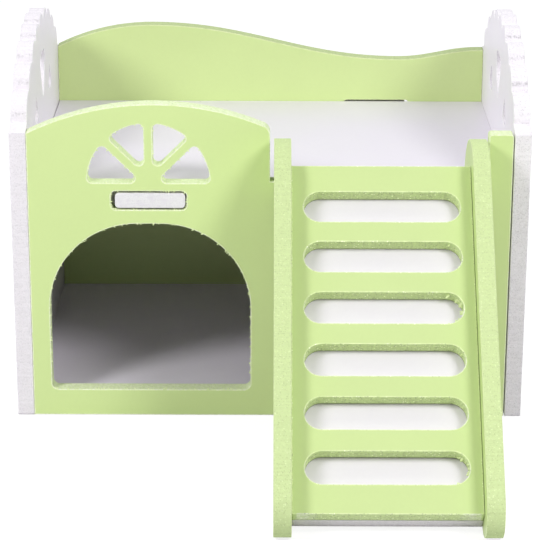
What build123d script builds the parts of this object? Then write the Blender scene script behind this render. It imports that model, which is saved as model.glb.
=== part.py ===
"""Two-storey hamster house of foamed plastic board, with a ladder that hooks over the front panel.

Millimetres, +Z up, front towards -Y. The origin is on the ground, in the middle of the whole object.
"""

import os
from math import cos, radians, sin

from build123d import *

# Boards and cuts
board = 5.0
overrun = 1.0

# House
house_width = 155.0
house_depth = 112.5
shoulder_height = 90.0
parapet_height = 18.3

# Gable: the tall left part of the front panel, and the low strip at the right
gable_width = 72.5
gable_rise = 8.13
gable_right_lift = 1.6
gable_corner = 3.0
strip_width = 7.7
strip_corner = 1.0

# Doorway in the gable, under the deck
door_jamb = 5.85
door_sill = 8.5
door_lintel = 4.8
door_crown_flat = 6.8
door_corner = 2.0

# Fan window above the deck
window_radius = 18.3
window_lift = 3.0
window_spoke = 2.75
window_spoke_angles = (45, 90, 135)
window_corner = 1.5

# Tenons of the deck and their slots
tenon_width = 21.4
tenon_edge = 1.2
tenon_shift = 0.4
slot_end_play = 0.6
slot_play = 0.4
slot_corner = 1.5

# Waved top of the back panel
wave_lift = 0.6
wave_rise = 7.6
wave_fall = 4.15
wave_end_fall = 0.85
wave_crest_share = 0.222
wave_dip_share = 0.8
wave_end_share = 0.99
wave_handle_share = 0.4

# Scalloped arch of the side panels
arch_run = 6.2
arch_lift = 1.7
arch_rise = 18.8
scallop_count = 9
scallop_rise = 3.3

# Fan-shaped cut-outs of the side panels
fan_radius = 30.5
fan_drop = 19.2
fan_base_rise = 13.2
fan_spoke = 14.0
fan_spoke_angles = (60, 120)
fan_corner = 2.0

# Ladder
ladder_angle = 45.0
ladder_play = 1.15
rail_lip = 7.0
sill_lip = 3.6
hook_heel = 8.1
hook_finger = 5.5
hook_play = 0.4
hook_lift = 0.3
hook_corner = 1.0
tread_lift = 0.5
tread_gap = 4.0
step_count = 6
step_slot_height = 9.6
step_end = 8.7
step_margin = 3.65

# Places that follow from the sizes above
inner_width = house_width - 2 * board
inner_left = -inner_width / 2
inner_right = inner_width / 2
gable_right = inner_left + gable_width
gable_middle = inner_left + gable_width / 2
back_tenon_x = -gable_middle
notch_right = inner_right - strip_width
deck_top = shoulder_height - parapet_height
deck_bottom = deck_top - board
deck_middle = deck_top - board / 2
sill_top = deck_top + sill_lip
window_y = deck_top + window_lift
door_top = deck_bottom - door_lintel
door_width = gable_width - 2 * door_jamb
door_crown_radius = (door_width - door_crown_flat) / 2
gable_right_top = shoulder_height + gable_right_lift
wave_start = shoulder_height + wave_lift
wave_crest = wave_start + wave_rise
wave_dip = wave_start - wave_fall
wave_end = wave_start - wave_end_fall
arch_foot = shoulder_height + arch_lift
fan_centre_height = shoulder_height - fan_drop
fan_base_height = fan_centre_height + fan_base_rise
side_middle = house_depth / 2
room_depth = house_depth - 2 * board
through = board + 2 * overrun

# Ladder's lines, measured from the house's front face: along is up the slope, off is square to it
slope_cos = cos(radians(ladder_angle))
slope_sin = sin(radians(ladder_angle))
rail_width = rail_lip + 2 * board
foot_radius = rail_width / 2
hook_bottom = deck_top + hook_lift
hook_front = -hook_play
hook_back = board + hook_play
hook_end = hook_back + hook_finger
under_y = hook_front - hook_heel
head_radius = (hook_end - under_y + rail_width / slope_sin) / (1 + 1 / slope_sin)
head_y = hook_end - head_radius
rail_off = -slope_sin * head_y + slope_cos * hook_bottom + head_radius
tread_off = rail_off - rail_lip
under_off = rail_off - rail_width
foot_y = (slope_cos * foot_radius + foot_radius - rail_off) / slope_sin
tread_bottom = (tread_lift - slope_cos * under_off) / slope_sin
tread_top = (slope_sin * under_off - tread_gap) / slope_cos
tread_length = tread_top - tread_bottom
tread_middle = (tread_top + tread_bottom) / 2
step_pitch = (tread_length - 2 * step_end - step_slot_height) / (step_count - 1)

# Across the ladder
ladder_left = gable_right + ladder_play
ladder_right = notch_right - ladder_play
ladder_middle = (ladder_left + ladder_right) / 2
tread_width = ladder_right - ladder_left - 2 * board
step_slot_width = tread_width - 2 * step_margin

# The origin is midway between the ladder's foot and the house's back
foot_reach = foot_radius - foot_y
front_y = (foot_reach - house_depth) / 2
back_y = front_y + house_depth
middle_y = front_y + house_depth / 2


def facing_front(y):
    """Upright plane across the house at a depth: sketch x is X, sketch y is Z, and it looks forward."""
    return Plane(origin=(0, y, 0), x_dir=(1, 0, 0), z_dir=(0, -1, 0))


def facing_right(x):
    """Upright plane along the house that looks right, with the sketch's x measured back from the front."""
    return Plane(origin=(x, front_y, 0), x_dir=(0, 1, 0), z_dir=(1, 0, 0))


def on_slope(off):
    """Plane of the ladder's boards: sketch x is X from the ladder's middle, sketch y runs up the slope."""
    foot = (ladder_middle, front_y - slope_sin * off, slope_cos * off)
    return Plane(origin=foot, x_dir=(1, 0, 0), z_dir=(0, -slope_sin, slope_cos))


def tenon(plane, x):
    """Section of a tenon at the deck's height, with its long edges eased."""
    with BuildSketch(plane) as section:
        with Locations((x, deck_middle)):
            RectangleRounded(tenon_width, board, tenon_edge)
    return section.sketch


def tenon_slot(plane, x):
    """Router-cut slot that a tenon of the deck goes through."""
    with BuildSketch(plane) as slot:
        with Locations((x, deck_middle)):
            RectangleRounded(tenon_width + 2 * slot_end_play, board + 2 * slot_play, slot_corner)
    return slot.sketch


def fan(plane, x, y, radius, base_y, spoke, spoke_angles, corner):
    """Openings of a fan: a disc above its base line, parted by spokes, with router-round corners."""
    with BuildSketch(plane) as openings:
        with Locations((x, y)):
            Circle(radius)
            Rectangle(2 * radius, radius, align=(Align.CENTER, Align.MAX), mode=Mode.SUBTRACT)
            for angle in spoke_angles:
                Rectangle(2 * radius, spoke, rotation=angle, mode=Mode.SUBTRACT)
        with Locations((x - spoke / 2, base_y)):
            Rectangle(radius, radius, align=(Align.MAX, Align.MAX), mode=Mode.SUBTRACT)
        with Locations((x + spoke / 2, base_y)):
            Rectangle(radius, radius, align=(Align.MIN, Align.MAX), mode=Mode.SUBTRACT)
        fillet(openings.vertices(), corner)
    return openings.sketch


# Front panel between the sides: gable with doorway and window, notch for the ladder, low strip
with BuildPart() as front_panel:
    with BuildSketch(facing_front(front_y + board)) as front_outline:
        with BuildLine():
            Polyline(
                (inner_left, shoulder_height),
                (inner_left, 0),
                (inner_right, 0),
                (inner_right, shoulder_height),
                (notch_right, shoulder_height),
                (notch_right, sill_top),
                (gable_right, sill_top),
                (gable_right, gable_right_top),
            )
            SagittaArc((inner_left, shoulder_height), (gable_right, gable_right_top), gable_rise)
        make_face()
        fillet(front_outline.vertices().sort_by(Axis.Y)[-1], gable_corner)
        strip_tops = [(notch_right, shoulder_height), (inner_right, shoulder_height)]
        fillet([front_outline.vertices().sort_by_distance(top)[0] for top in strip_tops], strip_corner)
    extrude(amount=board)
    with BuildSketch(facing_front(front_y + board + overrun)) as doorway:
        with Locations((gable_middle, (door_sill + door_top) / 2)):
            Rectangle(door_width, door_top - door_sill)
        fillet(doorway.vertices().group_by(Axis.Y)[-1], door_crown_radius)
        fillet(doorway.vertices().group_by(Axis.Y)[0], door_corner)
    extrude(amount=through, mode=Mode.SUBTRACT)
    window = fan(
        facing_front(front_y + board + overrun),
        gable_middle,
        window_y,
        window_radius,
        window_y,
        window_spoke,
        window_spoke_angles,
        window_corner,
    )
    extrude(window, amount=through, mode=Mode.SUBTRACT)
    front_slot = tenon_slot(facing_front(front_y + board + overrun), gable_middle)
    extrude(front_slot, amount=through, mode=Mode.SUBTRACT)
front_panel.part.label = "front_panel"

# Back panel between the sides: one long wave along its top
with BuildPart() as back_panel:
    crest_x = inner_left + wave_crest_share * inner_width
    dip_x = inner_left + wave_dip_share * inner_width
    end_x = inner_left + wave_end_share * inner_width
    fall_handle = wave_handle_share * (dip_x - crest_x)
    rise_handle = wave_handle_share * (end_x - dip_x)
    with BuildSketch(facing_front(back_y)):
        with BuildLine():
            TangentArc((crest_x, wave_crest), (inner_left, wave_start), tangent=(-1, 0))
            Polyline(
                (inner_left, wave_start),
                (inner_left, 0),
                (inner_right, 0),
                (inner_right, wave_end),
                (end_x, wave_end),
            )
            Bezier(
                (end_x, wave_end),
                (end_x - rise_handle, wave_end),
                (dip_x + rise_handle, wave_dip),
                (dip_x, wave_dip),
            )
            Bezier(
                (dip_x, wave_dip),
                (dip_x - fall_handle, wave_dip),
                (crest_x + fall_handle, wave_crest),
                (crest_x, wave_crest),
            )
        make_face()
    extrude(amount=board)
    back_slot = tenon_slot(facing_front(back_y + overrun), back_tenon_x)
    extrude(back_slot, amount=through, mode=Mode.SUBTRACT)
back_panel.part.label = "back_panel"


def side_panel(x, label):
    """Side panel whose left face is at x: sloped shoulders, scalloped arch, three openings of a fan, slot for the deck."""
    with BuildPart() as panel:
        with BuildSketch(facing_right(x)):
            with BuildLine():
                feet = ((arch_run, arch_foot), (house_depth - arch_run, arch_foot))
                arch = SagittaArc(*feet, arch_rise, mode=Mode.PRIVATE)
                valleys = [arch @ (count / scallop_count) for count in range(scallop_count + 1)]
                for valley, next_valley in zip(valleys, valleys[1:]):
                    SagittaArc(valley, next_valley, scallop_rise)
                Polyline(
                    valleys[-1],
                    (house_depth, shoulder_height),
                    (house_depth, 0),
                    (0, 0),
                    (0, shoulder_height),
                    valleys[0],
                )
            make_face()
        extrude(amount=board)
        openings = fan(
            facing_right(x - overrun),
            side_middle,
            fan_centre_height,
            fan_radius,
            fan_base_height,
            fan_spoke,
            fan_spoke_angles,
            fan_corner,
        )
        extrude(openings, amount=through, mode=Mode.SUBTRACT)
        slot = tenon_slot(facing_right(x - overrun), side_middle)
        extrude(slot, amount=through, mode=Mode.SUBTRACT)
    panel.part.label = label
    return panel.part


left_side_panel = side_panel(-house_width / 2, "left_side_panel")
right_side_panel = side_panel(inner_right, "right_side_panel")

# Deck: the upper floor, with one tenon into each of the four walls
with BuildPart() as deck:
    with BuildSketch(Plane.XY.offset(deck_bottom)):
        with Locations((0, middle_y)):
            Rectangle(inner_width, room_depth)
    extrude(amount=board)
    extrude(tenon(facing_front(front_y + board), gable_middle + tenon_shift), amount=board)
    extrude(tenon(facing_front(back_y), back_tenon_x - tenon_shift), amount=board)
    extrude(tenon(facing_right(-house_width / 2), side_middle), amount=board)
    extrude(tenon(facing_right(inner_right), side_middle), amount=board)
deck.part.label = "deck"

# Floor, glued between the walls
with BuildPart() as floor:
    with BuildSketch():
        with Locations((0, middle_y)):
            Rectangle(inner_width, room_depth)
    extrude(amount=board)
floor.part.label = "floor"


def ladder_rail(x, label):
    """Rail whose left face is at x: round foot, round head, and a hook that drops over the notch's sill."""
    front_foot = (foot_y - slope_sin * foot_radius, foot_radius + slope_cos * foot_radius)
    under_foot = (foot_y + slope_sin * foot_radius, foot_radius - slope_cos * foot_radius)
    front_head = (head_y - slope_sin * head_radius, hook_bottom + slope_cos * head_radius)
    with BuildPart() as rail:
        with BuildSketch(facing_right(x)) as outline:
            with BuildLine():
                TangentArc(front_foot, under_foot, tangent=(-slope_cos, -slope_sin))
                Line(front_foot, front_head)
                TangentArc(front_head, (hook_end, hook_bottom), tangent=(slope_cos, slope_sin))
                Polyline(
                    (hook_end, hook_bottom),
                    (hook_back, hook_bottom),
                    (hook_back, sill_top),
                    (hook_front, sill_top),
                    (hook_front, hook_bottom),
                    (under_y, hook_bottom),
                    under_foot,
                )
            make_face()
            hook_corners = outline.vertices().filter_by_position(Axis.Y, deck_top, hook_bottom + hook_lift)
            fillet(hook_corners, hook_corner)
        extrude(amount=board)
    rail.part.label = label
    return rail.part


ladder_left_rail = ladder_rail(ladder_left, "ladder_left_rail")
ladder_right_rail = ladder_rail(ladder_right - board, "ladder_right_rail")

# Tread: six long slots, round at both ends
with BuildPart() as ladder_tread:
    with BuildSketch(on_slope(tread_off - board)):
        with Locations((0, tread_middle)):
            Rectangle(tread_width, tread_length)
            with GridLocations(tread_width, step_pitch, 1, step_count):
                SlotOverall(step_slot_width, step_slot_height, mode=Mode.SUBTRACT)
    extrude(amount=board)
ladder_tread.part.label = "ladder_tread"

# Backing: plain board glued under the tread, so that the slots are blind
with BuildPart() as ladder_backing:
    with BuildSketch(on_slope(under_off)):
        with Locations((0, tread_middle)):
            Rectangle(tread_width, tread_length)
    extrude(amount=board)
ladder_backing.part.label = "ladder_backing"

os.makedirs("parts", exist_ok=True)
house = (front_panel.part, back_panel.part, left_side_panel, right_side_panel, deck.part, floor.part)
ladder = (ladder_tread.part, ladder_backing.part, ladder_left_rail, ladder_right_rail)
for piece in house + ladder:
    export_step(piece, f"parts/{piece.label}.step")
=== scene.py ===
"""Dresses a small pet's house of foamed board: sawn panels, a hooked ladder and a white studio stage."""

import math

import bmesh
import bpy
from mathutils import Matrix, Vector


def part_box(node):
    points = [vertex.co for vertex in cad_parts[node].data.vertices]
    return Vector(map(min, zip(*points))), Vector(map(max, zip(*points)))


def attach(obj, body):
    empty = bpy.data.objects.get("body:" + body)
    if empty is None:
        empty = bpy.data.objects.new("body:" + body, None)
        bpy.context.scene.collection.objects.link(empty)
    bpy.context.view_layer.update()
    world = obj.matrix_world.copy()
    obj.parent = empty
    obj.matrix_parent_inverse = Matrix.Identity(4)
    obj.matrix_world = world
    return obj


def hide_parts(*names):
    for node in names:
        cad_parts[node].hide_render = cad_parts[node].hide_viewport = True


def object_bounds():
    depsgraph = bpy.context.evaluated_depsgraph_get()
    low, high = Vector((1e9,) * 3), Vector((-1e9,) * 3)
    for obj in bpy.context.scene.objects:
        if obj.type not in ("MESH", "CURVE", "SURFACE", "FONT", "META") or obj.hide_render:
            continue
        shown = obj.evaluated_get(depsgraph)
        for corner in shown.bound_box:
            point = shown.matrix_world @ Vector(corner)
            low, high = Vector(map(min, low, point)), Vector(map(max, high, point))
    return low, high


bl_info = {
    "name": "Hamster House",
    "version": (1, 0, 0),
    "blender": (4, 5, 0),
    "location": "View3D > Sidebar > Hamster House",
    "description": "Sawn board panels, a hooked ladder and a studio stage for a small pet's house",
    "category": "Add Mesh",
}

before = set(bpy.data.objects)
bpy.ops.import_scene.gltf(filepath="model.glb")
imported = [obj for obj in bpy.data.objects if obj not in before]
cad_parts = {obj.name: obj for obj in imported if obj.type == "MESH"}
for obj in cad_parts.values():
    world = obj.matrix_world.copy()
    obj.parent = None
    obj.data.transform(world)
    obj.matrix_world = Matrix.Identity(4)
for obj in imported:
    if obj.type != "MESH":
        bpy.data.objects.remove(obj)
cad_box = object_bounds()

LEFT = Vector((-1, 0, 0))
RIGHT = Vector((1, 0, 0))
FRONT = Vector((0, -1, 0))
BACK = Vector((0, 1, 0))
UP = Vector((0, 0, 1))

# Features per metre of the patterns in the two finishes
CLOUD_SCALE = 45.0
PEEL_SCALE = 900.0
SPECK_SCALE = 95.0
GRAIN_SCALE = 1500.0
PATCH_SCALE = 260.0
MARK_SCALE = 1100.0
TEAR_SCALE = 1100.0
BREAK_SCALE = 420.0

# Where each pattern sets in, and where it is full
SPECK_RADII = (0.02, 0.045)
SPECK_CHOICE = 0.72
CLOUD_RANGE = (0.3, 0.7)
CELL_RADII = (0.1, 0.55)
PIT_RANGE = (0.3, 0.9)
SPARKLE_RANGE = (0.78, 0.86)
TEAR_RANGE = (0.42, 0.62)
LINE_RANGE = (0.2, 0.5)
BREAK_RANGE = (0.3, 0.6)
SAWN_RANGE = (0.4, 0.9)

# How far each pattern changes the tone, among them the painted shade in pits and at the foot of a sawn edge,
# and the foam's own tone
PEEL_TONE = 0.03
SPECK_TONE = 0.22
GRAIN_TONE = 0.2
PATCH_TONE = 0.07
PIT_SHADE_TONE = 0.2
SPARKLE_TONE = 0.2
TEAR_TONE = 0.34
MARK_TONE = 0.11
FOOT_SHADE_TONE = 0.6
FOAM_TONE = 1.02

# How far each pattern stands out, and the depth of the bump that they make
PEEL_HEIGHT = 0.25
GRAIN_HEIGHT = 0.8
MARK_HEIGHT = 1.1
PIT_HEIGHT = 1.2
TEAR_HEIGHT = 1.5
BUMP_STRENGTH = 0.7
BUMP_DEPTH = 0.00009

# Cells grow with the contrast, and torn foam, glints and rims with their painted highlight and wear are paler
# than the rest
CELL_BASE = 0.8
CELL_SWELL = 0.25
LIFT_BASE = 0.45
LIFT_RAGGED = 0.5
GLINT_SHARE = 0.4
BARE_BASE = 0.45
BARE_SHARE = 0.5
RIM_LIFT = 1.8
BREAK_STRENGTH = (0.25, 0.85)

# Roughness of the skin and the foam, and the gloss of both
SKIN_ROUGHNESS = (0.38, 0.5)
FOAM_ROUGHNESS = 0.82
GLOSS = 0.35

# Sockets of a Mix node for each kind: the first input, the second one and the output
MIX_SOCKETS = {"FLOAT": (2, 3, 0), "RGBA": (6, 7, 2)}

# Sockets of a Random Value node: limits, chance and seed, and its outputs for a value and a choice
RANDOM_LOW, RANDOM_HIGH, RANDOM_CHANCE, RANDOM_SEED = 2, 3, 6, 8
RANDOM_VALUE, RANDOM_CHOICE = 1, 3

# Rings of an edge section in its arris and at its foot, where painted shade darkens it, their spacing in
# steps, and the saw marks' stretch
ARRIS_RINGS = 3
FOOT_RINGS = 4.0
RING_STEP = 1.3
MARK_STRETCH = (1.0, 1.0, 0.25)

# Distances that are closed, or taken as none, and the share of a step below which a corner is dropped
RIM_WELD = 0.000002
SHELL_WELD = 0.000001
FLAT_LIMIT = 0.00001
CORNER_SHARE = 0.3

# Least cosine of a face that looks towards a side, and of a board that looks left or right
FACING_LIMIT = 0.1
SIDEWAYS_LIMIT = 0.9

# Shape of a burr, the limits of its lean along the rim and down, its size and its sink, and its root's depth
BURR_SHAPE = {"Vertices": 5, "Radius Top": 0.18, "Radius Bottom": 0.36, "Depth": 0.8}
BURR_SKEW = (-0.8, 0.8)
BURR_DROP = (-0.45, -0.05)
BURR_SIZE = (0.35, 1.0)
BURR_SINK = (-1.0, -0.4)
BURR_ROOT = -0.0001

# Seed of each board's saw marks, the tones of the piece and its sawn edge, which are painted light and shade,
# and how coarse its foam is
FRONT_SHEET = {"Seed": 1.0, "Tone And Painted Light": 1.035}
BACK_SHEET = {"Seed": 2.0, "Tone And Painted Light": 1.02, "Edge Tone And Painted Light": 0.8}
LEFT_SIDE_SHEET = {"Seed": 3.0, "Tone And Painted Light": 1.04}
RIGHT_SIDE_SHEET = {"Seed": 4.0, "Tone And Painted Light": 1.06, "Coarseness": 1.6}
FLOOR_SHEET = {"Seed": 5.0}
DECK_SHEET = {"Seed": 6.0, "Tone And Painted Light": 0.935}
TENON_SHEET = {"Face Cut": 1.0, "Tone And Painted Light": 0.9}
TENON_SEED = 7.0
# The tread's sawn edges get painted shade at their foot, where they meet the backing
TREAD_SHEET = {"Seed": 11.0, "Tone And Painted Light": 0.9, "Edge Tone And Painted Light": 1.12, "Foot Shade": 1.0, "Coarseness": 2.6}
BACKING_SHEET = {"Seed": 12.0, "Tone And Painted Light": 0.955, "Edge Tone And Painted Light": 1.1}
LEFT_RAIL_SHEET = {"Seed": 13.0, "Tone And Painted Light": 0.9}
RIGHT_RAIL_SHEET = {"Seed": 14.0, "Tone And Painted Light": 0.92}

# Lengths at the ends of the boards that move with a seam
FRONT_RIGHT_END = 0.004
FRONT_LEFT_END = 0.003
DECK_END = 0.0005
TREAD_END = 0.001

# Front panel: how torn its edges are, where less than zero is pale
FRONT_TORN = -0.6

# What tells its slot and its window's lights from the doorway, and the share and length of their burrs
SLOT_FLATNESS = 0.3
LIGHT_WIDTH = 0.03
SLOT_BURRS = (2.6, 1.0)
LIGHT_BURRS = (1.3, 0.8)
DOOR_BURRS = (1.9, 0.97)
FRONT_BURR_TONE = 1.08
FRONT_BURR_SEED = 20

# Side panels: the turn that tells a valley between scallops, and the torn flank of a scallop
VALLEY_TURN = -0.35
SCALLOP_REACH = 0.02
FLANK_STEP = 0.0005
FLANK_SHARE = 0.5
FLANK_WIDTH = 0.0006

# How torn the right end of each of the ladder's slots is, from the top one down
TORN_ENDS = (0.35, 0.8, 0.95, 0.75, 0.35, 0.95)

# Where the foam of a slot's round end is pale, and the burrs and flakes along the slots' rims
TORN_FROM = 0.72
TORN_FADE = 0.12
TORN_MIDDLE = 0.5
TORN_HEIGHT = 0.004
RIM_BURR_LENGTH = 0.35
RIM_BURR_TONE = 0.9
RIM_BURR_SEED = 40
FLAKE_FROM = 0.7
FLAKE_GAP = 0.002
FLAKE_LENGTH = 1.9
FLAKE_SPACING = 0.0004
FLAKE_SHARE = 0.38
FLAKE_SINK = 0.6
FLAKE_TONE = 0.95
FLAKE_SEED = 60

# Stage: the floor's size, level and tones, the room's directions and the camera's sensor
FLOOR_REACH = 3.0
FLOOR_LEVEL = -0.0002
FLOOR_BOUNCE = (0.77, 0.77, 0.77, 1.0)
FLOOR_SHADE = (0.3, 0.3, 0.3, 1.0)
FLOOR_GLOW = 0.82
WHITE = (1.0, 1.0, 1.0, 1.0)
ROOM_WAY = (0.0, 0.38, 0.92)
ROOM_RANGE = (0.3, 0.65)
SIDE_RANGE = (0.3, 0.85)
SIDE_RISE = (0.05, 0.3)
SIDE_DEPTH = (-0.4, 0.1)
SENSOR_WIDTH = 36.0


def add(tree, kind, sockets=None, **settings):
    """Adds a node, sets its options, and links or fills the sockets that are named."""
    node = tree.nodes.new(kind)
    for option, value in settings.items():
        setattr(node, option, value)
    for name, value in (sockets or {}).items():
        if isinstance(value, bpy.types.NodeSocket):
            tree.links.new(value, node.inputs[name])
        else:
            node.inputs[name].default_value = value
    return node


def result(tree, kind, sockets=None, **settings):
    """Adds a node as above, and returns the first socket that it puts out."""
    return add(tree, kind, sockets, **settings).outputs[0]


def math_node(tree, operation, first, second=None, clamp=False):
    """Adds a math node on one or two values or sockets, and returns what it puts out."""
    sockets = {0: first} if second is None else {0: first, 1: second}
    return result(tree, "ShaderNodeMath", sockets, operation=operation, use_clamp=clamp)


def plus(tree, first, second):
    """The sum of two values."""
    return math_node(tree, "ADD", first, second)


def minus(tree, first, second):
    """The difference of two values."""
    return math_node(tree, "SUBTRACT", first, second)


def times(tree, first, second):
    """The product of two values."""
    return math_node(tree, "MULTIPLY", first, second)


def swing(tree, value, amount):
    """A value turned about its middle and scaled."""
    return times(tree, minus(tree, value, 0.5), amount)


def ramp(tree, value, low, high, to_low=0.0, to_high=1.0):
    """Maps a value smoothly from one range to another, and returns the socket."""
    sockets = {0: value, 1: low, 2: high, 3: to_low, 4: to_high}
    return result(tree, "ShaderNodeMapRange", sockets, interpolation_type="SMOOTHSTEP")


def noise(tree, place, scale, detail):
    """Noise in space, from 0 to 1."""
    return result(tree, "ShaderNodeTexNoise", {"Vector": place, "Scale": scale, "Detail": detail})


def scaled(tree, vector, factor):
    """A vector or colour times a factor."""
    return result(tree, "ShaderNodeVectorMath", {0: vector, "Scale": factor}, operation="SCALE")


def vector_sum(tree, first, second):
    """The sum of two vectors."""
    return result(tree, "ShaderNodeVectorMath", {0: first, 1: second}, operation="ADD")


def upright(tree, height):
    """A vector that points up by a height."""
    return result(tree, "ShaderNodeCombineXYZ", {"Z": height})


def blended(tree, first, second, share, kind="RGBA"):
    """One colour or value that turns into another."""
    one, other, out = MIX_SOCKETS[kind]
    return add(tree, "ShaderNodeMix", {0: share, one: first, other: second}, data_type=kind).outputs[out]


def stored(tree, geometry, name, value, kind="FLOAT"):
    """Geometry whose points carry a value under a name."""
    sockets = {"Geometry": geometry, "Name": name, "Value": value}
    return result(tree, "GeometryNodeStoreNamedAttribute", sockets, data_type=kind, domain="POINT")


def carried(tree, name, kind="FLOAT"):
    """The value that the points carry under a name."""
    return result(tree, "GeometryNodeInputNamedAttribute", {"Name": name}, data_type=kind)


def moved(tree, geometry, offset):
    """Geometry whose points are moved by an offset."""
    return result(tree, "GeometryNodeSetPosition", {"Geometry": geometry, "Offset": offset})


def new_group(name, kind, inputs, outputs):
    """Starts a node group, and returns it with the sockets of its input and output nodes.

    An input is given by its default if that is a number, and otherwise by its kind of socket.
    """
    tree = bpy.data.node_groups.new(name, kind)
    for label, value in inputs.items():
        if isinstance(value, str):
            tree.interface.new_socket(label, in_out="INPUT", socket_type="NodeSocket" + value)
        else:
            number = "NodeSocketInt" if isinstance(value, int) else "NodeSocketFloat"
            tree.interface.new_socket(label, in_out="INPUT", socket_type=number).default_value = value
    for label, value in outputs.items():
        tree.interface.new_socket(label, in_out="OUTPUT", socket_type="NodeSocket" + value)
    return tree, tree.nodes.new("NodeGroupInput").outputs, tree.nodes.new("NodeGroupOutput").inputs


# Settings that a user would change


class BoardSettings(bpy.types.PropertyGroup):
    """Sizes of the board that every panel is sawn from."""

    arris: bpy.props.FloatProperty(
        name="Arris", description="Rounding along each edge of a board",
        default=0.00018, min=0.00005, max=0.001, unit="LENGTH", precision=5)
    # This band, here and on the front panel, carries a pale line that is partly wear and partly a painted
    # highlight
    pale_band: bpy.props.FloatProperty(
        name="Pale Band", description="Width of the pale worn band on the face beside each arris",
        default=0.00024, min=0.00005, max=0.001, unit="LENGTH", precision=5)
    front_pale_band: bpy.props.FloatProperty(
        name="Front Rub", description="Width of that band on the front panel",
        default=0.0003, min=0.00005, max=0.0003, unit="LENGTH", precision=5)
    step: bpy.props.FloatProperty(
        name="Step", description="Distance between points along a sawn edge",
        default=0.0005, min=0.0002, max=0.005, unit="LENGTH", precision=5)
    ripple: bpy.props.FloatProperty(
        name="Ripple", description="Depth of the marks that the saw leaves in a cut edge",
        default=0.00009, min=0.0, max=0.0005, unit="LENGTH", precision=5)
    ripple_length: bpy.props.FloatProperty(
        name="Ripple Length", description="Distance from one saw mark to the next",
        default=0.0021, min=0.0005, max=0.02, unit="LENGTH", precision=5)
    right_seam: bpy.props.FloatProperty(
        name="Right Seam", description="Gap between the front panel and the right side panel",
        default=0.0003, min=0.0, max=0.001, unit="LENGTH", precision=5)
    deck_seam: bpy.props.FloatProperty(
        name="Deck Seam", description="Gap between the deck and the left side panel",
        default=0.00016, min=0.0, max=0.001, unit="LENGTH", precision=5)
    left_seam: bpy.props.FloatProperty(
        name="Left Seam", description="Gap between the front panel and the left side panel",
        default=0.00002, min=0.0, max=0.001, unit="LENGTH", precision=5)
    tread_seam: bpy.props.FloatProperty(
        name="Tread Seam", description="Gap between the ladder's tread and its right rail",
        default=0.0001, min=0.0, max=0.001, unit="LENGTH", precision=5)
    tenon_gap: bpy.props.FloatProperty(
        name="Tenon Gap", description="How far each side of a tenon is rubbed down",
        default=0.00015, min=0.0, max=0.001, unit="LENGTH", precision=5)


class FinishSettings(bpy.types.PropertyGroup):
    """Colours of the two kinds of board."""

    green_skin: bpy.props.FloatVectorProperty(
        name="Green Skin", description="Face of the green board",
        default=(0.65, 0.79, 0.348), size=3, min=0.0, max=1.0, subtype="COLOR")
    green_foam: bpy.props.FloatVectorProperty(
        name="Green Foam", description="Sawn edge of the green board",
        default=(0.645, 0.77, 0.38), size=3, min=0.0, max=1.0, subtype="COLOR")
    # The arris colours are a pale line, partly wear and partly a painted highlight
    green_arris: bpy.props.FloatVectorProperty(
        name="Green Arris", description="Rubbed corner of the green board",
        default=(0.86, 0.94, 0.56), size=3, min=0.0, max=1.0, subtype="COLOR")
    white_skin: bpy.props.FloatVectorProperty(
        name="White Skin", description="Face of the white board",
        default=(0.865, 0.82, 0.905), size=3, min=0.0, max=1.0, subtype="COLOR")
    white_foam: bpy.props.FloatVectorProperty(
        name="White Foam", description="Sawn edge of the white board",
        default=(0.83, 0.79, 0.84), size=3, min=0.0, max=1.0, subtype="COLOR")
    # Pale line, partly wear and partly a painted highlight
    white_arris: bpy.props.FloatVectorProperty(
        name="White Arris", description="Rubbed corner of the white board",
        default=(0.95, 0.93, 0.96), size=3, min=0.0, max=1.0, subtype="COLOR")


class BurrSettings(bpy.types.PropertyGroup):
    """Sizes of the burrs that a router leaves round an opening."""

    length: bpy.props.FloatProperty(
        name="Length", description="Length of the longest burr",
        default=0.00085, min=0.0001, max=0.003, unit="LENGTH", precision=5)
    spacing: bpy.props.FloatProperty(
        name="Spacing", description="Distance between the places where a burr may stand",
        default=0.0008, min=0.0002, max=0.01, unit="LENGTH", precision=5)
    share: bpy.props.FloatProperty(
        name="Share", description="Share of those places that have a burr",
        default=0.22, min=0.0, max=1.0, subtype="FACTOR")


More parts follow.
